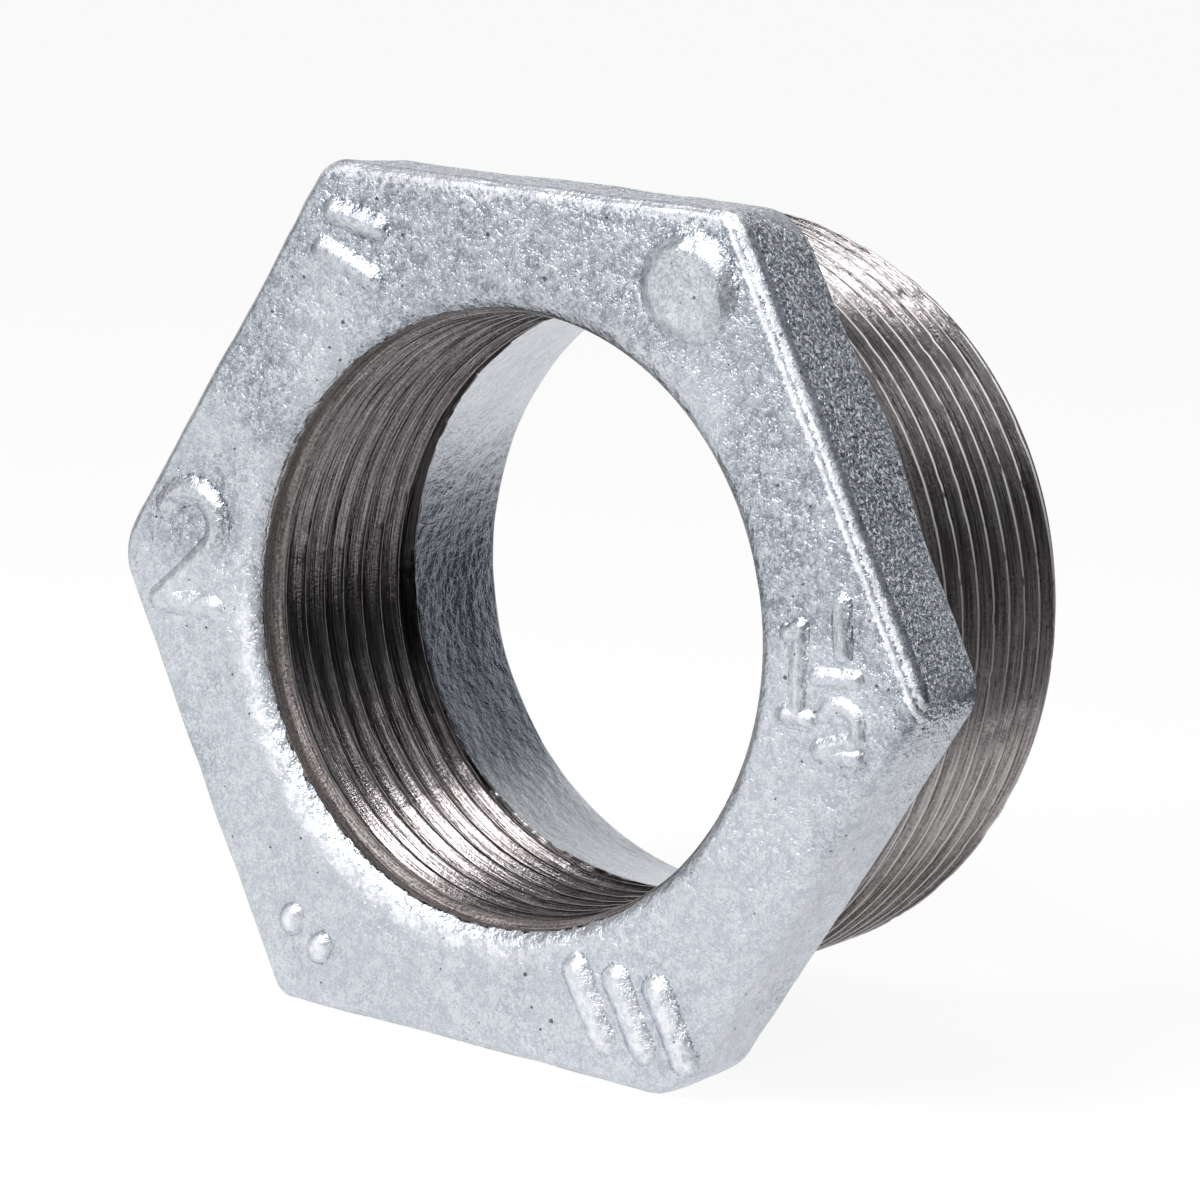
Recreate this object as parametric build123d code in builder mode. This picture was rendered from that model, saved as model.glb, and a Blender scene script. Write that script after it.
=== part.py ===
from build123d import *
import os

# Hexagon reducing bushing for threaded pipe, one casting in malleable iron. All sizes are in millimetres.
# The axis lies along Y. The head's face looks along -Y, the barrel points along +Y, and one flat of the
# hexagon faces down. The origin is on the axis, in the plane of the head's back face, where the barrel starts.

# Pipe thread, 11 threads to the inch
thread_pitch = 25.4 / 11
thread_depth = 0.6403 * thread_pitch

# Barrel, with a male taper thread of nominal size 2: the taper is 1 in 16 on the diameter
male_gauge_diameter = 59.614
male_gauge_length = 15.9
diameter_taper = 1 / 16
barrel_length = 23.5
end_chamfer = 1.2

# Hexagon head: the ledge is what the flats leave free beside the barrel
head_thickness = 8.7
shoulder_ledge = 2.2
shoulder_fillet = 1.0
corner_radius = 3.0
face_edge_radius = 0.9
back_edge_radius = 1.0

# Female thread of nominal size 1 1/2, tapped from the head's face as far as the cored recess
female_major_diameter = 47.803
female_thread_length = 17.8
mouth_chamfer = 0.6

# Cast lip that leads from the flat face down to the mouth
lip_width = 2.8
lip_depth = 0.9

# Cored recess behind the thread, which opens out towards the barrel's end
recess_clearance = 0.4
recess_draft_angle = 7.0
exit_edge_radius = 0.5

# Worked out from the values above
male_half_taper = diameter_taper / 2
barrel_shoulder_radius = male_gauge_diameter / 2 + (barrel_length - male_gauge_length) * male_half_taper
barrel_chamfer_radius = barrel_shoulder_radius - (barrel_length - end_chamfer) * male_half_taper
across_flats = 2 * (barrel_shoulder_radius + shoulder_ledge)
face_y = -head_thickness
bore_radius = female_major_diameter / 2 - thread_depth
mouth_radius = bore_radius + mouth_chamfer
mouth_y = face_y + lip_depth
thread_start_y = mouth_y + mouth_chamfer
recess_y = thread_start_y + female_thread_length
cut_overrun = 1.0

with BuildPart() as hex_bushing:
    # Head: a hexagon with rounded upright corners and softened rims, as the mould leaves them
    with BuildSketch(Plane.XZ) as hexagon:
        RegularPolygon(radius=across_flats / 2, side_count=6, major_radius=False)
        fillet(hexagon.vertices(), radius=corner_radius)
    extrude(amount=head_thickness)
    fillet(hex_bushing.faces().sort_by(Axis.Y)[0].edges(), radius=face_edge_radius)
    fillet(hex_bushing.faces().sort_by(Axis.Y)[-1].edges(), radius=back_edge_radius)

    # Barrel: the cone over the crests of the taper thread, chamfered at its end
    with BuildSketch(Plane.XY) as barrel_section:
        with BuildLine():
            Polyline(
                (0, 0),
                (barrel_shoulder_radius, 0),
                (barrel_chamfer_radius, barrel_length - end_chamfer),
                (barrel_chamfer_radius - end_chamfer, barrel_length),
                (0, barrel_length),
                close=True,
            )
        make_face()
    revolve(axis=Axis.Y)
    shoulder_rim = hex_bushing.edges().filter_by(GeomType.CIRCLE).sort_by(SortBy.RADIUS)[-1]
    fillet(shoulder_rim, radius=shoulder_fillet)

    # Way through: dished lip, chamfered mouth, thread at its crests, cored recess with draft
    with BuildSketch(Plane.XY) as way_through:
        with BuildLine():
            lip = TangentArc(
                (mouth_radius + lip_width, face_y),
                (mouth_radius, mouth_y),
                tangent=(-1, 0),
            )
            mouth = Line(lip @ 1, (bore_radius, thread_start_y))
            crests = Line(mouth @ 1, (bore_radius, recess_y))
            recess_step = Line(crests @ 1, (bore_radius + recess_clearance, recess_y + recess_clearance))
            recess = PolarLine(
                recess_step @ 1,
                barrel_length + cut_overrun - (recess_step @ 1).Y,
                angle=90 - recess_draft_angle,
                length_mode=LengthMode.VERTICAL,
            )
            Polyline(
                recess @ 1,
                (0, (recess @ 1).Y),
                (0, face_y - cut_overrun),
                (mouth_radius + lip_width, face_y - cut_overrun),
                lip @ 0,
            )
        make_face()
    revolve(axis=Axis.Y, mode=Mode.SUBTRACT)
    exit_rim = hex_bushing.faces().sort_by(Axis.Y)[-1].edges().sort_by(SortBy.RADIUS)[0]
    fillet(exit_rim, radius=exit_edge_radius)

hex_bushing.part.label = "hex_bushing"

os.makedirs("parts", exist_ok=True)
export_step(hex_bushing.part, "parts/hex_bushing.step")
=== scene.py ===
import math
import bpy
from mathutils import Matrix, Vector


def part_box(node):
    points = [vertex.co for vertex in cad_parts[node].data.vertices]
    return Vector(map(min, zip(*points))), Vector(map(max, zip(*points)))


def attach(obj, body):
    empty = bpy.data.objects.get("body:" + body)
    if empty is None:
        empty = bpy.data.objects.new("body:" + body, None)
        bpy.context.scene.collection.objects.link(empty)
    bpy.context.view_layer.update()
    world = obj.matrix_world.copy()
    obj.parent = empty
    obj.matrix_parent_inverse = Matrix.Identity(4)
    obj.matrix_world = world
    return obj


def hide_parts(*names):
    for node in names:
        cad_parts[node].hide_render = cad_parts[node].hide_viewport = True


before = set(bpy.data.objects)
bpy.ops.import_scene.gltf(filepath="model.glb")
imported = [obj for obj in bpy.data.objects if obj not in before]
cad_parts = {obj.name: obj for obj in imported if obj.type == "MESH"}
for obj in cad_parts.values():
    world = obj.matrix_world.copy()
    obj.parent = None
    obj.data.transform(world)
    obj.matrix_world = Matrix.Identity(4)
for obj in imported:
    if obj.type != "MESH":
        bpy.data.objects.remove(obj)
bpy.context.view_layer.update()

from types import SimpleNamespace

import bpy
import bmesh
import numpy as np
from mathutils import Matrix, Vector

# Hexagon reducing bushing: a galvanised casting with a taper thread cut on its barrel and a parallel thread
# cut in its bore. The axis lies along Y, the head's face looks along -Y, and one flat of the hexagon faces
# down. Places and sizes are in metres, and the metal's are in millimetres. Angles round the axis are counted
# from +X towards +Z.

head_low, head_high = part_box("hex_bushing")
MM = 0.001

# Sizes that the casting gives
face_y = head_low.y
barrel_end_y = head_high.y
half_across_flats = -head_low.z
barrel_length = barrel_end_y

# Pipe thread, 11 threads to the inch
pitch = 25.4 / 11 * MM
thread_depth = 0.6403 * pitch
half_taper = 1 / 32
crest_flat = 0.16 * pitch
root_flat = 0.2 * pitch

# Barrel, of nominal size 2. At angle 0 one crest lies where the photograph shows it.
male_gauge_diameter = 59.614 * MM
male_gauge_length = 15.9 * MM
male_start_y = 2.6 * MM
male_crest_y = 10.17 * MM
crest_stand_out = 0.28 * MM
end_chamfer = 0.7 * MM
male_gauge_radius = male_gauge_diameter / 2
male_gauge_y = barrel_end_y - male_gauge_length
barrel_shoulder_radius = male_gauge_radius + male_gauge_y * half_taper
barrel_end_radius = barrel_shoulder_radius - (barrel_length - end_chamfer) * half_taper - end_chamfer

# Bore, of nominal size 1 1/2, with its dished lip in front and the cored recess behind
female_major_diameter = 47.803 * MM
mouth_chamfer = 0.6 * MM
tapped_length = 17.8 * MM
lip_width = 2.8 * MM
lip_depth = 0.9 * MM
lip_turn = 0.55
lip_dish = 0.12
lip_break = 0.14
recess_clearance = 0.4 * MM
recess_draft_angle = 7
exit_edge_radius = 0.5 * MM
female_crest_edge = -5.50 * MM
bore_radius = female_major_diameter / 2 - thread_depth
mouth_radius = bore_radius + mouth_chamfer
mouth_y = face_y + lip_depth
recess_start_y = mouth_y + mouth_chamfer + tapped_length + recess_clearance
recess_start_radius = bore_radius + recess_clearance
recess_draft = math.tan(math.radians(recess_draft_angle))

# Head: the corners of the hexagon stand at 0, 60 ... 300 degrees, and each has its own radius from the mould
front_corner_radii = [radius * MM for radius in (2.8, 2.6, 3.0, 4.2, 2.0, 4.2)]
back_corner_radii = [radius * MM for radius in (3.4, 5.2, 3.2, 4.4, 2.4, 4.8)]
face_edge_radius = 0.9 * MM
back_edge_radius = 1.0 * MM
flat_draft = 0.15 * MM
shoulder_fillet = 1.0 * MM
rim_dip = 0.05 * MM

# Where the cores and the cutters ran out of true
tap_end_drift = 0.9 * MM
tap_end_drift_angle = 290
shoulder_bulge = 1.2 * MM
shoulder_bulge_angle = 33
shoulder_bulge_spread = 9
cast_unevenness = 0.07 * MM
least_corner = 0.05 * MM
barrel_tear = 0.09 * MM
bore_tear = 0.07 * MM

# Mesh, and the cut share of the rings where the cast skin meets a thread
steps_around = 360
steps_per_turn = 10
corner_count = 6
corner_crowding = 0.6
weld_distance = 1e-6
mark_cell = 0.16 * MM
mark_sink = 0.3 * MM
smooth_angle = 75
skin_edge_cut = 0.5

# Photograph: the camera stands to the right of the axis and a little above it, and the bushing leans back
camera_azimuth = 35.27
camera_elevation = 10.04
camera_roll = 3.93
camera_distance = 344.07 * MM
camera_target = Vector((0.142, 4.2, 0.377)) * MM
camera_lens = 136.46


class Wire:
    """An output socket of a node. Arithmetic on it adds Math nodes to the same tree."""

    def __init__(self, plan, socket):
        self.plan = plan
        self.socket = socket

    def __add__(self, other):
        return self.plan.math("ADD", self, other)

    def __radd__(self, other):
        return self.plan.math("ADD", other, self)

    def __sub__(self, other):
        return self.plan.math("SUBTRACT", self, other)

    def __rsub__(self, other):
        return self.plan.math("SUBTRACT", other, self)

    def __mul__(self, other):
        return self.plan.math("MULTIPLY", self, other)

    def __rmul__(self, other):
        return self.plan.math("MULTIPLY", other, self)

    def __truediv__(self, other):
        return self.plan.math("DIVIDE", self, other)

    def __rtruediv__(self, other):
        return self.plan.math("DIVIDE", other, self)

    def __gt__(self, other):
        return self.plan.math("GREATER_THAN", self, other)

    def __lt__(self, other):
        return self.plan.math("LESS_THAN", self, other)


class Plan:
    """One node tree: a material's, the world's or a shape's."""

    def __init__(self, tree):
        self.tree = tree

    def node(self, kind, settings=None, sockets=None):
        """A new node: first its settings, then a value or a wire for each socket, by name or number."""
        made = self.tree.nodes.new(kind)
        for name, value in (settings or {}).items():
            setattr(made, name, value)
        for key, value in (sockets or {}).items():
            if isinstance(value, Wire):
                self.tree.links.new(value.socket, made.inputs[key])
            else:
                made.inputs[key].default_value = value
        return made

    def wire(self, kind, settings=None, sockets=None, out=0):
        """The same, for a node of which one output is wanted."""
        return Wire(self, self.node(kind, settings, sockets).outputs[out])

    def math(self, operation, *values):
        return self.wire("ShaderNodeMath", {"operation": operation}, dict(enumerate(values)))

    def smooth(self, value, start, end):
        """0 below start and 1 above end, with a soft rise between them."""
        ends = {"Value": value, "From Min": start, "From Max": end}
        return self.wire("ShaderNodeMapRange", {"interpolation_type": "SMOOTHSTEP"}, ends)

    def band(self, value, start, full, fade, end):
        """1 from full to fade, and 0 below start and above end."""
        return self.smooth(value, start, full) * (1 - self.smooth(value, fade, end))

    def largest(self, first, *others):
        for other in others:
            first = self.math("MAXIMUM", first, other)
        return first

    def within(self, value, lowest, highest):
        return self.math("MINIMUM", self.math("MAXIMUM", value, lowest), highest)

    def blend(self, share, first, second):
        return first + (second - first) * share

    def colour(self, share, first, second):
        """A colour between two colours. Each is a wire or red, green and blue."""
        ends = [value if isinstance(value, Wire) else (*value, 1) for value in (first, second)]
        settings = {"data_type": "RGBA", "clamp_factor": True}
        return self.wire("ShaderNodeMix", settings, {0: share, 6: ends[0], 7: ends[1]}, out=2)

    def layered(self, ground, layers):
        """Colours laid over the ground one after the other. Each layer is its share and its colour."""
        for share, colour in layers:
            ground = self.colour(share, ground, colour)
        return ground

    def noise(self, place, size, detail=2.0, roughness=0.5):
        """Cloudy noise from 0 to 1 with lumps of that size."""
        sockets = {"Vector": place, "Scale": 1 / size, "Detail": detail, "Roughness": roughness}
        return self.wire("ShaderNodeTexNoise", None, sockets)

    def point(self, x, y, z):
        return self.wire("ShaderNodeCombineXYZ", None, {0: x, 1: y, 2: z})

    def parts(self, vector):
        split = self.node("ShaderNodeSeparateXYZ", None, {0: vector})
        return [Wire(self, output) for output in split.outputs]

    def scaled(self, vector, factors):
        return self.wire("ShaderNodeVectorMath", {"operation": "MULTIPLY"}, {0: vector, 1: factors})

    def cover(self, surface):
        """The material's surface is this shader."""
        output = self.tree.nodes.new("ShaderNodeOutputMaterial")
        self.tree.links.new(surface.socket, output.inputs["Surface"])


def new_material(name):
    """A material without nodes, and the plan of its tree."""
    material = bpy.data.materials.new(name)
    material.use_nodes = True
    plan = Plan(material.node_tree)
    plan.tree.nodes.clear()
    return material, plan


def placed(name, data):
    """An object in the scene that carries this mesh, lamp or camera."""
    made = bpy.data.objects.new(name, data)
    bpy.context.scene.collection.objects.link(made)
    return made


def turn_angle(share):
    """The angle at that share of a turn, where the steps crowd at the hexagon's corners."""
    crowding = corner_crowding / corner_count * np.sin(2 * math.pi * corner_count * share)
    return 2 * math.pi * share - crowding


def shape_tree(name, sizes):
    """An empty Geometry Nodes tree with a mesh input and one named input for each size."""
    tree = bpy.data.node_groups.new(name, "GeometryNodeTree")
    tree.interface.new_socket("Mesh", in_out="INPUT", socket_type="NodeSocketGeometry")
    for size in sizes:
        tree.interface.new_socket(size, in_out="INPUT", socket_type="NodeSocketFloat")
    tree.interface.new_socket("Mesh", in_out="OUTPUT", socket_type="NodeSocketGeometry")
    plan = Plan(tree)
    source = tree.nodes.new("NodeGroupInput")
    return plan, {output.name: Wire(plan, output) for output in source.outputs if output.name}


def finish_tree(plan, mesh, metal):
    """Ends a tree: no instances are left, and the metal is set."""
    whole = plan.wire("GeometryNodeRealizeInstances", None, {"Geometry": mesh})
    painted = plan.wire("GeometryNodeSetMaterial", None, {"Geometry": whole, "Material": metal})
    plan.tree.links.new(painted.socket, plan.tree.nodes.new("NodeGroupOutput").inputs[0])


def shaped(name, tree, sizes, mesh=None):
    """The plain mesh that a tree makes with these sizes."""
    carrier = placed(name, mesh or bpy.data.meshes.new(name))
    modifier = carrier.modifiers.new(name, "NODES")
    modifier.node_group = tree
    sockets = {item.name: item.identifier for item in tree.interface.items_tree if item.in_out == "INPUT"}
    for size, value in sizes.items():
        modifier[sockets[size]] = value
    graph = bpy.context.evaluated_depsgraph_get()
    made = bpy.data.meshes.new_from_object(carrier.evaluated_get(graph), depsgraph=graph)
    bpy.data.objects.remove(carrier)
    return made


THREAD_SIZES = (
    "Facing", "Start", "End", "End Drift", "Drift Angle",
    "Radius", "Radius At", "Half Taper", "Crest At", "Depth",
    "Start Radius", "Start Slope", "Start Run-out", "End Radius", "End Slope", "End Run-out",
    "Tear", "Tear Size", "Torn Band", "End Shade Band",
)


def thread_turns_tree(metal):
    """A right-hand thread round the Y axis, whose rows of points follow its own helix, cut off at both ends.

    Facing is 1 for a thread on a barrel and -1 for one in a bore. The radius is that of the crests. Slopes
    say how the crests are chamfered at the ends, and run-outs how fast the grooves get their depth.
    """
    plan, given = shape_tree("thread_turns", THREAD_SIZES)
    facing, start, depth = given["Facing"], given["Start"], given["Depth"]

    # Rows and columns of the helix, with the first row at or before the start
    turns_before = plan.math("CEIL", (given["Crest At"] - start) / pitch)
    first_y = given["Crest At"] - turns_before * pitch
    span = given["End"] + given["End Drift"] - first_y
    rows = plan.math("CEIL", (span / pitch + 1) * steps_per_turn) + 1
    sheet = plan.wire("GeometryNodeMeshGrid", None, {
        "Size X": 1.0,
        "Size Y": 1.0,
        "Vertices X": steps_around + 1,
        "Vertices Y": rows,
    })
    across, along, _ = plan.parts(plan.wire("GeometryNodeInputPosition"))
    share = across + 0.5
    crowding = plan.math("SINE", share * (2 * math.pi * corner_count)) * (corner_crowding / corner_count)
    angle = share * (2 * math.pi) - crowding
    turn = angle / (2 * math.pi)

    # The helix moves back by one pitch on its way round
    step = (along + 0.5) * (rows - 1) / steps_per_turn
    drift = given["End Drift"] * plan.math("COSINE", angle - given["Drift Angle"])
    end = given["End"] + drift
    y = plan.within(first_y + (step - turn) * pitch, start, end)

    # Section of one turn: 0 at the crest and 1 at the root
    phase = (y - first_y) / pitch + turn
    from_crest = plan.math("ABSOLUTE", plan.math("FRACT", phase + 0.5) - 0.5) * pitch
    flank = (pitch - crest_flat - root_flat) / 2
    groove = plan.within((from_crest - crest_flat / 2) / flank, 0.0, 1.0)

    # The cutter tears the crests here and there
    cone = given["Radius"] - (y - given["Radius At"]) * given["Half Taper"]
    place = plan.point(plan.math("COSINE", angle) * cone, y, plan.math("SINE", angle) * cone)
    torn = plan.noise(place, 1.6 * MM, 3.0, 0.7) - 0.5
    stretched = plan.scaled(place, (1.0, 0.35, 1.0))
    pulled = plan.smooth(plan.noise(stretched, given["Tear Size"], 2.0), 0.56, 0.74)
    loss = (torn * 0.5 + pulled * (1 - groove) * 1.4) * given["Tear"]
    surface = cone * facing - depth * groove - loss

    # Chamfers and run-outs meet the casting's own rings at both ends
    from_start = y - start
    to_end = end - y
    start_ring = given["Start Radius"] * facing
    end_ring = given["End Radius"] * facing
    surface = plan.math("MINIMUM", surface, start_ring + from_start * given["Start Slope"])
    surface = plan.math("MAXIMUM", surface, start_ring - from_start * given["Start Run-out"])
    surface = plan.math("MINIMUM", surface, end_ring + to_end * given["End Slope"])
    surface = plan.math("MAXIMUM", surface, end_ring - to_end * given["End Run-out"])
    radius = surface * facing
    spot = plan.point(plan.math("COSINE", angle) * radius, y, plan.math("SINE", angle) * radius)

    # What the metal has to know: that it is cut bare, the torn band at the start, and the band at the end
    # where shade is painted on the last groove
    torn_band = 1 - plan.smooth(from_start / given["Torn Band"], 0.75, 1.25)
    end_shade_band = 1 - plan.smooth(to_end / given["End Shade Band"], 0.7, 1.3)
    wound = sheet
    for name, value in (("cut", 1.0), ("torn", torn_band), ("end_shade", end_shade_band)):
        wound = plan.wire("GeometryNodeStoreNamedAttribute", {"data_type": "FLOAT", "domain": "POINT"}, {
            "Geometry": wound,
            "Name": name,
            "Value": value,
        })
    wound = plan.wire("GeometryNodeSetPosition", None, {"Geometry": wound, "Position": spot})
    outward = plan.wire("FunctionNodeCompare", None, {0: facing, 1: 0.0})
    wound = plan.wire("GeometryNodeFlipFaces", None, {"Mesh": wound, "Selection": outward})
    closed = plan.wire("GeometryNodeMergeByDistance", None, {"Geometry": wound, "Distance": weld_distance})
    finish_tree(plan, closed, metal)
    return plan.tree


def barrel_radius(y):
    """The radius of the cone over the barrel's crests."""
    return barrel_shoulder_radius - y * half_taper


def barrel_thread(tree):
    return shaped("barrel_thread", tree, {
        "Facing": 1.0,
        "Start": male_start_y,
        "End": barrel_end_y,
        "Radius": male_gauge_radius + crest_stand_out,
        "Radius At": male_gauge_y,
        "Half Taper": half_taper,
        "Crest At": male_crest_y,
        "Depth": thread_depth,
        "Start Radius": barrel_radius(male_start_y),
        "Start Slope": 0.5,
        "Start Run-out": 0.42,
        "End Radius": barrel_end_radius,
        "End Slope": 1.0,
        "End Run-out": 3.0,
        "Tear": barrel_tear,
        "Tear Size": 2.2 * MM,
        "Torn Band": 2.2 * MM,
        "End Shade Band": 0.01 * MM,
    })


def bore_thread(tree):
    return shaped("bore_thread", tree, {
        "Facing": -1.0,
        "Start": mouth_y,
        "End": recess_start_y,
        "End Drift": tap_end_drift,
        "Drift Angle": math.radians(tap_end_drift_angle),
        "Radius": bore_radius,
        "Crest At": female_crest_edge + pitch / 2 - crest_flat / 2,
        "Depth": thread_depth,
        "Start Radius": mouth_radius,
        "Start Slope": 0.28,
        "Start Run-out": 0.12,
        "End Radius": recess_start_radius,
        "End Slope": 1.0,
        "End Run-out": 2.5,
        "Tear": bore_tear,
        "Tear Size": 2.2 * MM,
        "Torn Band": 2.0 * MM,
        # The last groove of the bore's thread gets a band of painted shade
        "End Shade Band": 1.3 * MM,
    })


def hexagon_radius(angles, inset, depth):
    """How far the rounded hexagon reaches at these angles, when it is drawn in by the inset.

    The depth is 0 at the front and 1 at the back, where the corners are rounder.
    """
    nearest = np.round(angles / (math.pi / 3)).astype(int)
    off_corner = np.abs(angles - nearest * (math.pi / 3))
    front = np.array(front_corner_radii)[nearest % 6]
    back = np.array(back_corner_radii)[nearest % 6]
    corner = np.maximum(front + (back - front) * depth - inset, least_corner)
    apothem = half_across_flats - inset
    centre = (apothem - corner) / math.cos(math.pi / 6)
    tangent = np.arctan2(corner * 0.5, centre + corner * math.cos(math.pi / 6))
    on_arc = centre * np.cos(off_corner) + np.sqrt(
        np.maximum(corner ** 2 - (centre * np.sin(off_corner)) ** 2, 0)
    )
    on_flat = apothem / np.cos(math.pi / 6 - off_corner)
    return np.where(off_corner < tangent, on_arc, on_flat)


def lumps(x, y, z, size, seed):
    """Gentle waves that run in random directions, mostly from -1 to 1: the unevenness of a sand casting."""
    chance = np.random.default_rng(seed)
    total = np.zeros(np.broadcast(x, y, z).shape)
    waves = 14
    for _ in range(waves):
        direction = chance.normal(size=3)
        direction /= np.linalg.norm(direction)
        length = size * chance.uniform(0.7, 1.8)
        total += np.sin(
            (x * direction[0] + y * direction[1] + z * direction[2]) * 2 * math.pi / length
            + chance.uniform(0, 2 * math.pi)
        )
    return total / math.sqrt(waves)


def head_rings(angles):
    """The casting from the bore's mouth over the lip, the face, the flats and the ledge to the barrel.

    Each ring is its radius, its place along the axis, how bare it is cut, and how uneven it may be.
    """
    rings = []
    ones = np.ones_like(angles)

    # Dished lip, which gets bare near the mouth: nearly flat at first, then rolling over ever more steeply
    lip_shares = (1.0, 0.94, 0.87, 0.8, 0.72, 0.64, 0.56, 0.4, 0.2, 0.0)
    lip_bareness = (skin_edge_cut, 0.34, 0.2, 0.08, 0.0, 0.0, 0.0, 0.0, 0.0, 0.0)
    for share, bare in zip(lip_shares, lip_bareness):
        radius = mouth_radius + lip_width * (1 - share)
        dish = lip_dish * min(share / lip_turn, 1) ** 2
        rolled = max(share - lip_turn, 0) / (1 - lip_turn)
        roll = (1 - lip_dish) * (lip_break * rolled + (1 - lip_break) * rolled ** 2)
        y = face_y + lip_depth * (dish + roll)
        rings.append((ones * radius, ones * y, bare, 0.0 if share == 1.0 else 0.5))

    # Flat face, out to where the rim starts to round
    inner = mouth_radius + lip_width
    outer = hexagon_radius(angles, face_edge_radius, 0)
    for share in (0.12, 0.25, 0.4, 0.55, 0.7, 0.85, 1.0):
        rings.append((inner + (outer - inner) * share, ones * face_y, 0.0, 0.8))

    # Front rim: a bevel with two soft ridges
    for turn in (0.12, 0.3, 0.42, 0.5, 0.58, 0.7, 0.88, 1.0):
        bend = turn * math.pi / 2
        dip = rim_dip * math.exp(-((turn - 0.5) / 0.12) ** 2)
        inset = face_edge_radius * (1 - math.sin(bend)) + dip
        y = face_y + face_edge_radius * (1 - math.cos(bend)) + dip
        rings.append((hexagon_radius(angles, inset, 0), ones * y, 0.0, 0.8))

    # Flats, with the ledge bulging where the fillet under it reaches the flat
    degrees = np.degrees(angles)
    bulge = shoulder_bulge * np.exp(-((degrees - shoulder_bulge_angle) / shoulder_bulge_spread) ** 2)
    flat_start = face_y + face_edge_radius
    flat_end = bulge - back_edge_radius
    for share in (0.2, 0.4, 0.6, 0.8, 1.0):
        y = flat_start + (flat_end - flat_start) * share
        rings.append((hexagon_radius(angles, flat_draft * share, share), y, 0.0, 1.0))

    # Back rim, ledge and fillet, which is flatter where the ledge bulges
    for turn in (0.2, 0.45, 0.7, 1.0):
        bend = turn * math.pi / 2
        inset = flat_draft + back_edge_radius * (1 - math.cos(bend))
        y = bulge - back_edge_radius * (1 - math.sin(bend))
        rings.append((hexagon_radius(angles, inset, 1), y, 0.0, 0.7))
    fillet_start = barrel_shoulder_radius + shoulder_fillet
    ledge_outer = hexagon_radius(angles, flat_draft + back_edge_radius, 1)
    for share in (0.35, 0.7, 1.0):
        rings.append((ledge_outer + (fillet_start - ledge_outer) * share, bulge, 0.0, 0.6))
    for turn in (0.25, 0.5, 0.75, 1.0):
        bend = turn * math.pi / 2
        radius = fillet_start - shoulder_fillet * math.sin(bend)
        y = bulge + (shoulder_fillet - bulge * 0.3) * (1 - math.cos(bend))
        rings.append((ones * radius, y, 0.3 * turn, 0.3))
    rings.append((ones * barrel_radius(male_start_y), ones * male_start_y, 1.0, 0.0))
    return rings


def recess_rings(angles):
    """The casting from the barrel's end over its inner edge and along the recess to the bore's thread."""
    rings = []
    ones = np.ones_like(angles)
    exit_radius = recess_start_radius + (barrel_end_y - recess_start_y) * recess_draft
    rings.append((ones * barrel_end_radius, ones * barrel_end_y, 0.7, 0.0))
    edge_start = exit_radius + exit_edge_radius
    for share in (0.1, 0.4, 0.7, 1.0):
        radius = barrel_end_radius + (edge_start - barrel_end_radius) * share
        rings.append((ones * radius, ones * barrel_end_y, 0.0, 0.3))
    for turn in (0.33, 0.66, 1.0):
        bend = turn * math.pi / 2
        radius = edge_start - exit_edge_radius * math.sin(bend)
        y = barrel_end_y - exit_edge_radius * (1 - math.cos(bend))
        rings.append((ones * radius, ones * y, 0.0, 0.5))
    drift = tap_end_drift * np.cos(angles - math.radians(tap_end_drift_angle))
    thread_end = recess_start_y + drift
    wall_start = barrel_end_y - exit_edge_radius
    for share in (0.12, 0.25, 0.38, 0.5, 0.62, 0.75, 0.86, 0.95, 1.0):
        y = wall_start + (thread_end - wall_start) * share
        radius = exit_radius + (recess_start_radius - exit_radius) * share
        last = share == 1.0
        rings.append((ones * radius, y, skin_edge_cut if last else 0.0, 0.0 if last else 0.9))
    return rings


def ring_mesh(name, rings, angles):
    """A sheet of four-sided faces over closed rings, with the cut share kept as an attribute."""
    points = []
    cut = []
    for radius, y, bare, loose in rings:
        x = radius * np.cos(angles)
        z = radius * np.sin(angles)
        sway = loose * cast_unevenness
        wave = lumps(x, y, z, 9 * MM, 3) + 0.45 * lumps(x, y, z, 3.2 * MM, 5)
        drop = 1 + sway * wave / radius
        shift = sway * (lumps(x, y, z, 10 * MM, 8) + 0.45 * lumps(x, y, z, 3.4 * MM, 9))
        points.append(np.stack([x * drop, y + shift, z * drop], 1))
        cut.append(np.full(len(angles), bare))
    count = len(angles)
    faces = []
    for order in range(len(rings) - 1):
        for column in range(count):
            beside = (column + 1) % count
            here = order * count
            above = here + count
            faces.append((here + column, above + column, above + beside, here + beside))
    mesh = bpy.data.meshes.new(name)
    mesh.from_pydata(np.concatenate(points).tolist(), [], faces)
    layer = mesh.attributes.new("cut", "FLOAT", "POINT")
    layer.data.foreach_set("value", np.concatenate(cut).astype(np.float32))
    for kind in ("torn", "end_shade"):
        mesh.attributes.new(kind, "FLOAT", "POINT")
    return mesh


def welded(name, meshes, metal):
    """One closed piece of this metal, from sheets that share their end rings."""
    joined = bmesh.new()
    for mesh in meshes:
        joined.from_mesh(mesh)
        bpy.data.meshes.remove(mesh)
    bmesh.ops.remove_doubles(joined, verts=joined.verts, dist=weld_distance * 2)
    bmesh.ops.recalc_face_normals(joined, faces=joined.faces)
    whole = bpy.data.meshes.new(name)
    joined.to_mesh(whole)
    joined.free()
    whole.shade_smooth()
    whole.set_sharp_from_angle(angle=math.radians(smooth_angle))
    whole.materials.clear()
    whole.materials.append(metal)
    return placed(name, whole)


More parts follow.
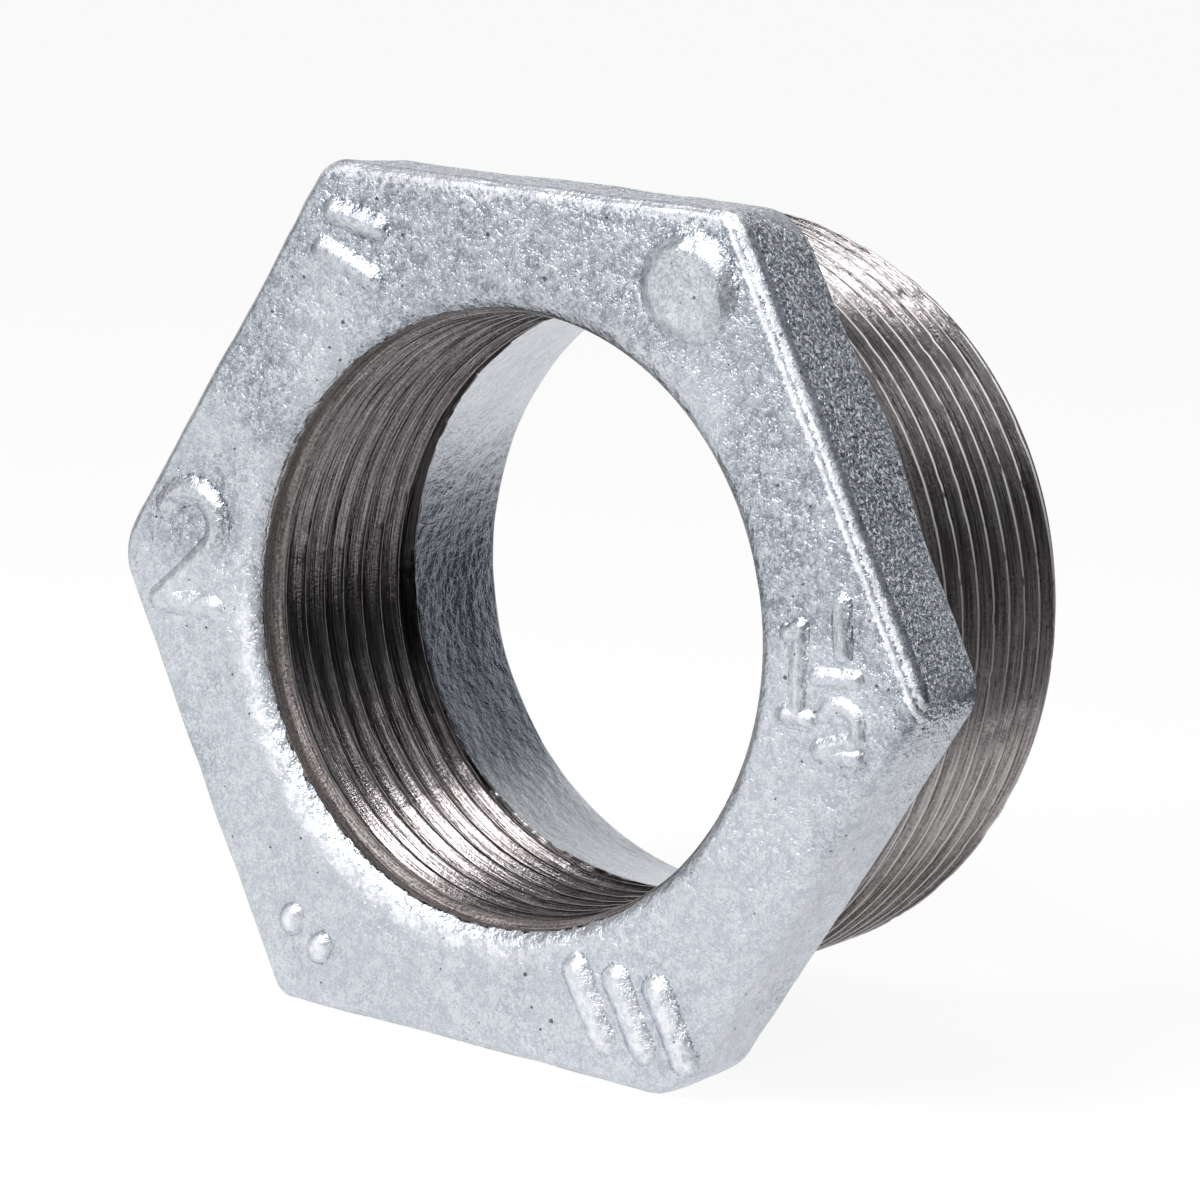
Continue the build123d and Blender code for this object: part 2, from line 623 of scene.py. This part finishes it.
def sharpen_rings(mesh, bare):
    """Sharp edges along the rings where the cast skin meets the cut thread, which carry that cut share."""
    cut = np.zeros(len(mesh.vertices), np.float32)
    mesh.attributes["cut"].data.foreach_get("value", cut)
    ends = np.zeros(len(mesh.edges) * 2, np.int32)
    mesh.edges.foreach_get("vertices", ends)
    on_ring = np.abs(cut[ends.reshape(-1, 2)] - bare).max(1) < 1e-3
    for edge, ring in zip(mesh.edges, on_ring):
        if ring:
            edge.use_edge_sharp = True


def bushing_casting(metal):
    """The whole bushing: the head's rings, the barrel's thread, the recess and the bore's thread, welded."""
    angles = turn_angle(np.arange(steps_around) / steps_around)
    turns = thread_turns_tree(metal)
    sheets = [
        ring_mesh("head", head_rings(angles), angles),
        barrel_thread(turns),
        ring_mesh("recess", recess_rings(angles), angles),
        bore_thread(turns),
    ]
    casting = welded("bushing_casting", sheets, metal)
    sharpen_rings(casting.data, skin_edge_cut)
    return casting


STROKE_SIZES = ("Face", "Width", "Flank", "Height", "Cell", "Sink")


def raised_strokes_tree(metal):
    """Strokes in the plane of the face become raised ribs with soft flanks that run out into the face."""
    plan, given = shape_tree("raised_strokes", STROKE_SIZES)
    reach = given["Width"] / 2 + given["Flank"]
    border = reach + given["Cell"]
    box = plan.node("GeometryNodeBoundBox", None, {0: given["Mesh"]})
    low = plan.parts(Wire(plan, box.outputs["Min"]))
    high = plan.parts(Wire(plan, box.outputs["Max"]))
    wide = high[0] - low[0] + border * 2
    tall = high[2] - low[2] + border * 2
    sheet = plan.wire("GeometryNodeMeshGrid", None, {
        "Size X": wide,
        "Size Y": tall,
        "Vertices X": plan.math("CEIL", wide / given["Cell"]) + 1,
        "Vertices Y": plan.math("CEIL", tall / given["Cell"]) + 1,
    })
    across, up, _ = plan.parts(plan.wire("GeometryNodeInputPosition"))
    floor_y = given["Face"] + given["Sink"]
    flat = plan.point(across + (low[0] + high[0]) / 2, floor_y, up + (low[2] + high[2]) / 2)
    sheet = plan.wire("GeometryNodeSetPosition", None, {"Geometry": sheet, "Position": flat})

    # Only the cells near a stroke stay, with a wavering edge as in sand
    x, _, z = plan.parts(plan.wire("GeometryNodeInputPosition"))
    spot = plan.point(x, given["Face"], z)
    near = plan.wire("GeometryNodeProximity", {"target_element": "EDGES"}, {
        "Geometry": given["Mesh"],
        "Sample Position": spot,
    }, out="Distance")
    waver = (plan.noise(spot, 0.9 * MM, 2.0) - 0.5) * given["Flank"] * 0.35
    distance = near + waver
    kept = plan.wire("GeometryNodeDeleteGeometry", {"domain": "POINT"}, {
        "Geometry": sheet,
        "Selection": distance > reach,
    })
    raised = plan.node("GeometryNodeExtrudeMesh", {"mode": "FACES"}, {
        "Mesh": kept,
        "Offset": (0.0, -1.0, 0.0),
        "Offset Scale": given["Sink"],
        "Individual": False,
    })
    back = plan.wire("GeometryNodeFlipFaces", None, {"Mesh": kept})
    profile = plan.smooth(reach - distance, 0.0, given["Flank"] * 1.5)
    bumpy = 0.9 + plan.noise(spot, 1.6 * MM, 1.0) * 0.2
    lift = plan.point(0.0, 0 - profile * given["Height"] * bumpy, 0.0)
    top = plan.wire("GeometryNodeSetPosition", None, {
        "Geometry": Wire(plan, raised.outputs["Mesh"]),
        "Selection": Wire(plan, raised.outputs["Top"]),
        "Offset": lift,
    })
    both = plan.node("GeometryNodeJoinGeometry")
    plan.tree.links.new(top.socket, both.inputs[0])
    plan.tree.links.new(back.socket, both.inputs[0])
    closed = plan.wire("GeometryNodeMergeByDistance", None, {
        "Geometry": Wire(plan, both.outputs[0]),
        "Distance": weld_distance,
    })
    finish_tree(plan, closed, metal)
    return plan.tree


def bend_points(centre, radius, start, end, steps=9):
    """Points along an arc in the plane of the face, with the angles in degrees."""
    turn = [math.radians(start + (end - start) * step / steps) for step in range(steps + 1)]
    return [(centre[0] + radius * math.cos(a), centre[1] + radius * math.sin(a)) for a in turn]


def numeral_two(left, foot, width, height):
    """The strokes of a plain 2."""
    bow = width / 2
    top = (left + bow, foot + height - bow)
    return [bend_points(top, bow, 155, -35) + [(left, foot), (left + width, foot)]]


def stroke_mesh(name, strokes):
    """Edges along each stroke, in the plane of the face. Places are in millimetres."""
    points = []
    edges = []
    for stroke in strokes:
        first = len(points)
        points += [(x * MM, face_y, z * MM) for x, z in stroke]
        edges += [(first + step, first + step + 1) for step in range(len(stroke) - 1)]
    mesh = bpy.data.meshes.new(name)
    mesh.from_pydata(points, edges, [])
    return mesh


def raised_marks(metal):
    """The raised size figures, 2 and 1 1/2, and plain bars, pips and a pad elsewhere on the face.

    Places are across and up in the face, in millimetres. Each mark has its strokes, width, flank and height.
    """
    size_two = numeral_two(left=-32.4, foot=-3.2, width=5.4, height=8.8)
    size_one_and_half = [
        [(26.5, 3.9), (26.9, -2.4)],
        [(25.7, 3.4), (26.5, 3.9)],
        [(25.9, -2.4), (27.8, -2.4)],
        [(29.8, 6.2), (30.2, 2.7)],
        [(28.3, 0.7), (31.4, 1.0)],
    ] + numeral_two(left=29.0, foot=-4.4, width=3.0, height=3.4)
    bar_spacing = 3.6
    bars = [
        [(9.4 + bar_spacing * order, -24.4), (12.2 + bar_spacing * order, -29.0)]
        for order in range(3)
    ]
    corner_bars = [[(-17.3, 28.4), (-13.2, 27.6)], [(-18.2, 25.6), (-13.4, 23.8)]]
    pips = [[(-17.4, -25.7), (-17.6, -26.1)], [(-14.6, -27.4), (-14.8, -27.8)]]
    pad = [[(14.9, 26.5), (15.3, 26.5)]]
    marks = (
        ("size_two", size_two, 1.0, 0.8, 0.55),
        ("size_one_and_half", size_one_and_half, 0.7, 0.65, 0.42),
        ("bars", bars, 1.2, 0.8, 0.6),
        ("corner_bars", corner_bars, 1.0, 0.8, 0.55),
        ("pips", pips, 1.1, 0.7, 0.5),
        ("pad", pad, 6.2, 1.1, 0.85),
    )
    tree = raised_strokes_tree(metal)
    sheets = []
    for name, strokes, width, flank, height in marks:
        sheets.append(shaped(name, tree, {
            "Face": face_y,
            "Width": width * MM,
            "Flank": flank * MM,
            "Height": height * MM,
            "Cell": mark_cell,
            "Sink": mark_sink,
        }, stroke_mesh(name, strokes)))
    return welded("raised_marks", sheets, metal)


# Colours of the zinc, from ground to specks, and of the cut iron. Red, green and blue in linear light.
ZINC = {
    "dull ground": (0.735, 0.765, 0.81),
    "lively ground": (0.635, 0.665, 0.71),
    "pale soot": (0.50, 0.535, 0.59),
    "dark soot": (0.20, 0.23, 0.28),
    "sagged": (0.54, 0.57, 0.62),
    "freckle": (0.42, 0.45, 0.50),
    "pinhole": (0.10, 0.10, 0.11),
    # partly painted shade
    "rough shaded core": (0.15, 0.17, 0.21),
    "smooth core": (0.68, 0.71, 0.76),
    # painted shade and glints on the upper flats
    "low flat": (0.45, 0.50, 0.58),
    "shaded high flat": (0.195, 0.225, 0.285),
    "flat speck highlight": (0.76, 0.82, 0.90),
    # painted rim highlight
    "rim_highlight": (0.97, 0.98, 1.0),
    # painted highlight on the lip and the raised marks
    "lip and mark highlight": (0.91, 0.93, 0.95),
    "glint": (0.93, 0.95, 0.97),
}
IRON = {
    "scratch shade": (0.065, 0.056, 0.058),
    "scratch": (0.33, 0.308, 0.316),
    "stain": (0.17, 0.14, 0.128),
    "torn shade": (0.05, 0.042, 0.042),
    "torn": (0.40, 0.355, 0.345),
    # painted light on the lower barrel
    "dull shade": (0.088, 0.074, 0.072),
    "dull": (0.33, 0.298, 0.292),
    # painted light and shade on the barrel by height
    "shaded side": (0.05, 0.040, 0.038),
    "lit top": (0.50, 0.475, 0.475),
    "lit side": (0.52, 0.485, 0.485),
    "shaded_underside": (0.04, 0.034, 0.034),
    # painted highlight along the crests
    "crest highlight": (0.95, 0.93, 0.93),
    # painted shade in the grooves
    "groove_shade": (0.016, 0.014, 0.015),
}

# Sizes of the skin's lumps and specks, in millimetres
fine_size = 0.15
ripped_size = 0.22
glint_size = 0.32
grain_size = 0.34
ragged_size = 0.7
blotch_size = 0.75
peel_size = 1.0
stain_size = 3.4
sag_size = 4.5
cloud_size = 14.0

# Two radii and a place along the axis, in millimetres, that tell the recess and the barrel from the rest
recess_reach = 25.5
recess_front = 8.0
barrel_inside = 26.2


def pinholes(plan, place, spacing, largest):
    """Small dark pits in the zinc. About four cells in ten have one."""
    cells = plan.node("ShaderNodeTexVoronoi", {"feature": "F1"}, {"Vector": place, "Scale": 1 / spacing})
    chance = plan.parts(Wire(plan, cells.outputs["Color"]))[0]
    size = (chance - 0.55) * (largest / 0.45 / spacing)
    return (1 - plan.smooth(Wire(plan, cells.outputs["Distance"]), size * 0.5, size)) * (chance > 0.6)


def surface_places(plan):
    """Where a point of the surface lies, in millimetres, and the masks and attributes that both metals
    share.
    """
    place = plan.scaled(plan.wire("ShaderNodeTexCoord", out="Object"), (1 / MM, 1 / MM, 1 / MM))
    x, y, z = plan.parts(place)
    radius = plan.math("SQRT", x * x + z * z)
    slanted = x * math.cos(math.pi / 6)
    reach = plan.largest(
        plan.math("ABSOLUTE", slanted + z * 0.5),
        plan.math("ABSOLUTE", slanted - z * 0.5),
        plan.math("ABSOLUTE", z),
    )
    front = 1 - plan.smooth(y, face_y / MM + 0.9, face_y / MM + 1.3)
    return SimpleNamespace(
        place=place,
        x=x,
        y=y,
        z=z,
        radius=radius,
        front=front,
        right_reach=slanted + z * 0.5,
        flats=plan.smooth(reach, half_across_flats / MM - 0.6, half_across_flats / MM - 0.3) * (1 - front),
        rim=plan.smooth(reach, half_across_flats / MM - 1.4, half_across_flats / MM - 0.8) * front,
        cored=(radius < recess_reach) * (y > recess_front),
        barrel=radius > barrel_inside,
        cut=plan.wire("ShaderNodeAttribute", {"attribute_name": "cut"}, out="Fac"),
        torn=plan.wire("ShaderNodeAttribute", {"attribute_name": "torn"}, out="Fac"),
        # The band of painted shade at the end of the bore's thread
        end_shade=plan.wire("ShaderNodeAttribute", {"attribute_name": "end_shade"}, out="Fac"),
    )


def rim_highlights(plan, at, grain):
    """Painted highlights on the face's rim: two white lines along the right edge, and specks along the top.
    """
    edge_start = half_across_flats / MM - 1.35
    across_rim = at.right_reach + (grain - 0.5) * 0.7 - edge_start
    inner_ridge = plan.band(across_rim, 0.0, 0.15, 0.38, 0.6)
    outer_ridge = plan.band(across_rim, 0.68, 0.84, 1.02, 1.2)
    top_glints = plan.smooth(at.z + (grain - 0.5) * 2.4, edge_start, edge_start + 0.5)
    return plan.largest(inner_ridge * 0.85, outer_ridge, top_glints * 0.45) * at.front


def lip_highlight(plan, at, grain):
    """A painted highlight: the white band on the lip, to the lower left of the bore."""
    lower_left = plan.smooth((at.x * -0.6 - at.z * 0.8) / at.radius, 0.35, 0.95)
    rise = plan.smooth(at.radius + (grain - 0.5) * 1.6, 23.4, 24.2)
    fall = plan.smooth(at.radius + (grain - 0.5) * 2.6, 24.6, 25.6)
    return rise * (1 - fall) * lower_left * at.front


def zinc_skin(plan, at):
    """Colour, metallic share, roughness and relief in millimetres of the galvanised skin.

    It has grains, orange peel, dull and lively areas, pinholes, and a rougher skin where the core was,
    partly darkened as painted shade. Its colour also carries painted highlights on the rim, the lip and the
    raised marks, and painted shade and glints on the upper flats.
    """
    place, y, z = at.place, at.y, at.z
    grain = plan.noise(place, grain_size, 2.0, 0.6)
    fine = plan.noise(place, fine_size, 2.0, 0.6)
    peel = plan.noise(place, peel_size, 2.0, 0.5)
    sag = plan.noise(place, sag_size, 2.0, 0.5)
    blotch = plan.noise(place, blotch_size, 3.0, 0.7)
    patchy = plan.smooth(blotch, 0.38, 0.60)

    # The upper right of the face is livelier, and the core left its own rough skin at mid height, whose
    # darker colour is partly painted shade
    clouds = plan.noise(place, cloud_size, 1.0) + z * 0.006 + plan.math("MINIMUM", at.x, 0.0) * 0.003
    lively = plan.smooth(clouds, 0.40, 0.62)
    smooth_core = at.cored * plan.largest(plan.smooth(z, 0.0, 13.0), plan.smooth(z, -15.5, -21.5))
    rough_shaded_core = at.cored - smooth_core
    # The upper flats get painted shade, darker higher up, with painted glints on it
    upper_flats = at.flats * plan.smooth(z, -2.5, 0.5)
    raised = 1 - plan.smooth(y, face_y / MM - 0.32, face_y / MM - 0.10)
    small_holes = pinholes(plan, place, 0.95, 0.15) * (1 - at.cored)
    holes = plan.largest(pinholes(plan, place, 2.6, 0.28), small_holes)
    # Painted glints on the upper flats
    glints = plan.smooth(plan.noise(place, glint_size, 3.0, 0.7), 0.54, 0.59) * upper_flats
    # Painted highlight on the rim
    rim_highlight = rim_highlights(plan, at, grain)
    # Painted highlights on the raised marks, stronger on the lower ones
    low_marks = raised * plan.blend(plan.smooth(z, -14.0, -20.0), 0.3, 0.9)
    mark_highlights = low_marks * plan.blend(patchy, 0.25, 0.7)
    lip_and_mark_highlights = plan.largest(lip_highlight(plan, at, grain) * plan.blend(patchy, 0.1, 0.8), mark_highlights)

    soot = plan.colour(lively, ZINC["pale soot"], ZINC["dark soot"])
    ground = plan.colour(lively * (1 - at.flats), ZINC["dull ground"], ZINC["lively ground"])
    # Painted shade on the upper flats, darker higher up, with specks of painted highlight
    flat_shade = plan.colour(plan.smooth(z, 3.0, 15.0), ZINC["low flat"], ZINC["shaded high flat"])
    flat_speck_highlights = plan.smooth(grain * 0.45 + fine * 0.3 + blotch * 0.25, 0.43, 0.60)
    specks = plan.smooth(fine * 0.4 + grain * 0.35 + peel * 0.25, 0.40, 0.60)
    colour = plan.layered(plan.colour(specks, soot, ground), [
        (plan.smooth(sag, 0.35, 0.7) * 0.3, ZINC["sagged"]),
        ((1 - plan.smooth(fine, 0.40, 0.60)) * 0.2, ZINC["freckle"]),
        (holes * 0.9, ZINC["pinhole"]),
        (rough_shaded_core * 0.9, ZINC["rough shaded core"]),
        (upper_flats, plan.colour(flat_speck_highlights, flat_shade, ZINC["flat speck highlight"])),
        (rim_highlight * plan.blend(patchy, 0.45, 0.95), ZINC["rim_highlight"]),
        (lip_and_mark_highlights, ZINC["lip and mark highlight"]),
        (smooth_core * 0.6, ZINC["smooth core"]),
        (glints, ZINC["glint"]),
    ])

    metallic = 0.92 - plan.largest(glints, plan.largest(rim_highlight, lip_and_mark_highlights) * 0.75) * 0.6
    roughness = plan.blend(lively, 0.38, 0.30) + (grain - 0.5) * 0.2 - at.cored * 0.14
    worn_smooth = 1 - plan.largest(at.rim * 0.75, raised * 0.85)
    grain_height = plan.blend(lively, 0.08, 0.15) * worn_smooth + upper_flats * 0.34 + at.flats * 0.04
    relief = (
        (grain - 0.5) * (1 - smooth_core * 0.6) * grain_height
        + (fine - 0.5) * 0.05
        + (peel - 0.5) * plan.blend(at.cored, 0.22, 0.32) * worn_smooth * (1 - smooth_core * 0.6)
        + (sag - 0.5) * 0.35 * (1 - smooth_core * 0.7) * (1 - raised * 0.6)
        - holes * 0.15
    )
    return colour, metallic, roughness, relief


def cut_iron(plan, at):
    """Colour, metallic share, roughness and relief in millimetres of the iron that the cutters laid bare.

    It has fine scratches along the turns, stains and torn brown ends. Its colour also carries painted
    highlights along the crests, which are partly worn bright, painted shade in the grooves and at the end of
    the bore's thread, and painted light and shade by height on the barrel.
    """
    barrel, torn, z = at.barrel, at.torn, at.z

    # Where a point lies along the helix: its distance behind the nearest crest's back edge
    turn_height = pitch / MM
    side = barrel * 2 - 1
    angle = plan.math("ARCTAN2", z * side, at.x * side)
    helix = at.y + angle * (turn_height / (2 * math.pi))
    first_edge = plan.blend(barrel, female_crest_edge / MM, (male_crest_y + crest_flat / 2) / MM)
    behind = (plan.math("FRACT", (helix - first_edge) / turn_height + 0.5) - 0.5) * turn_height
    arc = angle * at.radius

    scratch = plan.noise(plan.point(helix * 7.0, at.radius * 7.0, arc * 0.16), 1.0, 3.0, 0.65)
    wide_lines = plan.noise(plan.point(helix * 2.2, at.radius * 2.2, arc * 0.09), 1.0, 2.0, 0.6)
    broken = plan.noise(plan.point(helix * 0.8, 0.0, arc * 0.35), 1.0, 3.0, 0.6)
    ripped = plan.noise(at.place, ripped_size, 2.0, 0.6)
    stain = plan.smooth(plan.noise(at.place, stain_size, 3.0, 0.6), 0.38, 0.7)
    worn = plan.smooth(scratch * 0.7 + ripped * 0.3, 0.36, 0.64)

    # Painted light and shade by height on the barrel: a painted highlight on its lit top, painted shade on
    # the side below it, a band of painted light further down and painted shade on its underside
    upper = plan.smooth(z, 0.0, 20.0)
    lit_top = plan.smooth(z, 12.0, 20.0)
    lit_side = plan.band(z, -19.0, -12.0, -6.0, 3.0)
    shaded_underside = 1 - plan.smooth(z, -24.0, -13.0)
    # Below the middle of the barrel the iron is less metallic, and its colour is painted paler as painted
    # light
    dull = barrel * (1 - upper)

    # Painted highlight along each crest, on crests that are partly worn bright, and painted shade in each
    # groove
    crest_highlight_middle = plan.blend(barrel, 0.06, crest_flat / MM / 2)
    crest_highlight_reach = plan.blend(barrel, 0.05, crest_flat / MM * 0.28)
    off_crest_highlight = plan.math("ABSOLUTE", behind + crest_highlight_middle)
    crest_highlight = 1 - plan.smooth(off_crest_highlight, crest_highlight_reach, crest_highlight_reach + 0.05 + broken * 0.06)
    crest_highlight = crest_highlight * plan.smooth(broken, 0.30, 0.42) * (1 - torn) * (1 - dull * 0.6)
    # Painted shade in each groove, stronger in the bore and higher up the barrel, and in the band at the end
    # of the bore's thread
    groove = plan.band(behind, 0.08, 0.35, 0.75, 1.4)
    groove_shade_strength = plan.blend(barrel, 0.95, 0.2 + upper * 0.4 + lit_top * 0.2)
    groove_shade = plan.largest(at.end_shade, groove * groove_shade_strength * (1 - torn))

    torn_texture = plan.smooth(ripped * 0.4 + scratch * 0.6, 0.34, 0.66)
    colour = plan.layered(plan.colour(worn, IRON["scratch shade"], IRON["scratch"]), [
        (stain * 0.3, IRON["stain"]),
        (torn * 0.85, plan.colour(torn_texture, IRON["torn shade"], IRON["torn"])),
        # painted light on the lower barrel
        (dull * 0.75, plan.colour(worn, IRON["dull shade"], IRON["dull"])),
        (barrel * upper * (1 - lit_top) * plan.blend(worn, 0.75, 0.3), IRON["shaded side"]),
        (barrel * lit_top * 0.25, IRON["lit top"]),
        (barrel * lit_side * plan.blend(worn, 0.15, 0.6), IRON["lit side"]),
        (barrel * shaded_underside * plan.blend(worn, 0.75, 0.25), IRON["shaded_underside"]),
        (crest_highlight * 0.95, IRON["crest highlight"]),
        (groove_shade * 0.85, IRON["groove_shade"]),
    ])

    # The painted crest highlight is made less metallic, so that it stays pale
    crest_highlight_dullness = plan.blend(barrel, 0.3, 0.6 + upper * 0.33) * (1 - dull * 0.4)
    metallic = 0.97 - torn * 0.45 - dull * 0.3 - crest_highlight * crest_highlight_dullness
    roughness = 0.17 + (scratch - 0.5) * 0.14 + torn * 0.2 + crest_highlight * 0.1
    rounding = plan.band(behind, -0.24, 0.05, 0.1, 0.3) * (1 - torn) * (1 - barrel)
    relief = (
        (scratch - 0.5) * plan.blend(barrel, 0.05, 0.09)
        + (wide_lines - 0.5) * 0.05
        + (ripped - 0.5) * (0.02 + torn * 0.08)
        - rounding * 0.11
    )
    return colour, metallic, roughness, relief


def galvanised_iron():
    """Zinc skin over cast iron, and bare cut iron in the threads. The cut attribute tells them apart."""
    material, plan = new_material("galvanised_iron")
    at = surface_places(plan)
    ragged = plan.noise(at.place, ragged_size, 3.0, 0.6)
    bare = plan.smooth(at.cut + (ragged - 0.5) * 0.9, 0.42, 0.58)
    zinc_colour, zinc_metallic, zinc_roughness, zinc_relief = zinc_skin(plan, at)
    iron_colour, iron_metallic, iron_roughness, iron_relief = cut_iron(plan, at)
    relief = plan.wire("ShaderNodeBump", None, {
        "Strength": 1.0,
        "Distance": 1 * MM,
        "Height": plan.blend(bare, zinc_relief, iron_relief),
    })
    plan.cover(plan.wire("ShaderNodeBsdfPrincipled", None, {
        "Base Color": plan.colour(bare, zinc_colour, iron_colour),
        "Metallic": plan.blend(bare, zinc_metallic, iron_metallic),
        "Roughness": plan.blend(bare, zinc_roughness, iron_roughness),
        "Normal": relief,
    }))
    return material


def pale_floor():
    """A plain white floor under the bushing, which keeps its shadow."""
    size = 3.0
    level = head_low.z
    mesh = bpy.data.meshes.new("floor")
    corners = [(-size, -size, level), (size, -size, level), (size, size, level), (-size, size, level)]
    mesh.from_pydata(corners, [], [(0, 1, 2, 3)])
    material, plan = new_material("white_paper")
    paper = plan.wire("ShaderNodeBsdfDiffuse", None, {"Color": (0.88, 0.88, 0.88, 1)})
    glow = plan.wire("ShaderNodeEmission", None, {"Color": (1, 1, 1, 1), "Strength": 1.05})
    path = plan.node("ShaderNodeLightPath")
    seen = Wire(plan, path.outputs["Is Camera Ray"])
    mirrored = Wire(plan, path.outputs["Is Glossy Ray"])
    share = plan.largest(seen, mirrored) * 0.86
    plan.cover(plan.wire("ShaderNodeMixShader", None, {0: share, 1: paper, 2: glow}))
    mesh.materials.append(material)
    floor = placed("floor", mesh)


def dark_cloth(name, first, last, near, far, low_top, high_top, fade):
    """A dark studio cloth that lies on the floor and then hangs, between two directions from the bushing.

    It only shows as dark reflections in the metal. The tops are given as angles above the horizon, and the
    fade as the heights in metres between which the cloth gets paler.
    """
    floor_level = head_low.z + 0.5 * MM
    steps = 48
    rows = 3
    points = []
    for step in range(steps + 1):
        share = step / steps
        angle = math.radians(first + (last - first) * share)
        top = far * math.tan(math.radians(low_top + (high_top - low_top) * share))
        section = [(near, floor_level), (far, floor_level), (far, top)]
        points += [(reach * math.cos(angle), reach * math.sin(angle), level) for reach, level in section]
    faces = []
    for step in range(steps):
        for row in range(rows - 1):
            corner = rows * step + row
            faces.append((corner, corner + rows, corner + rows + 1, corner + 1))
    mesh = bpy.data.meshes.new(name)
    mesh.from_pydata(points, [], faces)
    material, plan = new_material(name)
    level = plan.parts(plan.wire("ShaderNodeTexCoord", out="Object"))[2]
    shade = plan.colour(plan.smooth(level, *fade), (0.018, 0.020, 0.026), (0.28, 0.31, 0.36))
    plan.cover(plan.wire("ShaderNodeBsdfDiffuse", None, {"Color": shade}))
    mesh.materials.append(material)
    cloth = placed(name, mesh)
    cloth.visible_camera = False
    cloth.visible_shadow = False
    cloth.visible_diffuse = False


def white_surroundings():
    """White to the camera. For everything else the walls are white and the ceiling is dim."""
    world = bpy.data.worlds.new("surroundings")
    world.use_nodes = True
    bpy.context.scene.world = world
    plan = Plan(world.node_tree)
    plan.tree.nodes.clear()
    path = plan.node("ShaderNodeLightPath")
    seen = Wire(plan, path.outputs["Is Camera Ray"])
    mirrored = Wire(plan, path.outputs["Is Glossy Ray"])
    through = Wire(plan, path.outputs["Is Transmission Ray"])
    height = plan.parts(plan.wire("ShaderNodeTexCoord", out="Generated"))[2]
    ceiling = plan.smooth(height, 0.22, 0.55) * (1 - seen)
    walls = plan.blend(plan.largest(mirrored, through, seen), 0.8, 1.0)
    light = plan.wire("ShaderNodeBackground", None, {
        "Color": (1.0, 1.0, 1.0, 1),
        "Strength": plan.blend(ceiling, walls, 0.28),
    })
    output = plan.tree.nodes.new("ShaderNodeOutputWorld")
    plan.tree.links.new(light.socket, output.inputs["Surface"])


def softbox(name, direction, distance, width, height, watts):
    """A soft lamp that looks at the bushing from that direction, with its size and distance in metres."""
    lamp = bpy.data.lights.new(name, "AREA")
    lamp.shape = "RECTANGLE"
    lamp.size = width
    lamp.size_y = height
    lamp.energy = watts
    holder = placed(name, lamp)
    towards = Vector(direction).normalized()
    holder.location = towards * distance
    holder.rotation_mode = "QUATERNION"
    holder.rotation_quaternion = (-towards).to_track_quat("-Z", "Y")


def photo_camera():
    """The camera of the photograph. Its roll is the bushing's own lean."""
    azimuth = math.radians(camera_azimuth)
    elevation = math.radians(camera_elevation)
    back = Vector((
        math.sin(azimuth) * math.cos(elevation),
        -math.cos(azimuth) * math.cos(elevation),
        math.sin(elevation),
    ))
    level_right = Vector((0, 0, 1)).cross(back).normalized()
    level_up = back.cross(level_right)
    roll = math.radians(camera_roll)
    right = level_right * math.cos(roll) + level_up * math.sin(roll)
    up = level_up * math.cos(roll) - level_right * math.sin(roll)
    data = bpy.data.cameras.new("photo_camera")
    data.lens = camera_lens
    data.sensor_width = 36
    data.clip_start = 0.01
    data.clip_end = 20
    camera = placed("photo_camera", data)
    turned = Matrix((right, up, back)).transposed().to_4x4()
    camera.matrix_world = Matrix.Translation(camera_target + back * camera_distance) @ turned
    bpy.context.scene.camera = camera


metal = galvanised_iron()
casting = bushing_casting(metal)
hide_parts("hex_bushing")
marks = raised_marks(metal)
for piece in (casting, marks):
    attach(piece, "root")

pale_floor()
dark_cloth(
    "right_cloth",
    first=-45, last=84, near=0.075, far=0.32, low_top=26, high_top=33, fade=(0.085, 0.16),
)
dark_cloth(
    "front_cloth",
    first=-97, last=-45, near=0.31, far=0.32, low_top=33, high_top=38, fade=(0.19, 0.27),
)
dark_cloth(
    "left_cloth",
    first=166, last=196, near=0.30, far=0.36, low_top=14, high_top=14, fade=(0.09, 0.17),
)
white_surroundings()
softbox("key_softbox", (-0.10, -0.67, 0.73), distance=0.34, width=0.10, height=0.24, watts=1.15)
softbox("side_softbox", (0.52, -0.66, 0.54), distance=0.60, width=0.24, height=0.24, watts=0.6)
photo_camera()
bpy.context.scene.view_settings.view_transform = "Standard"
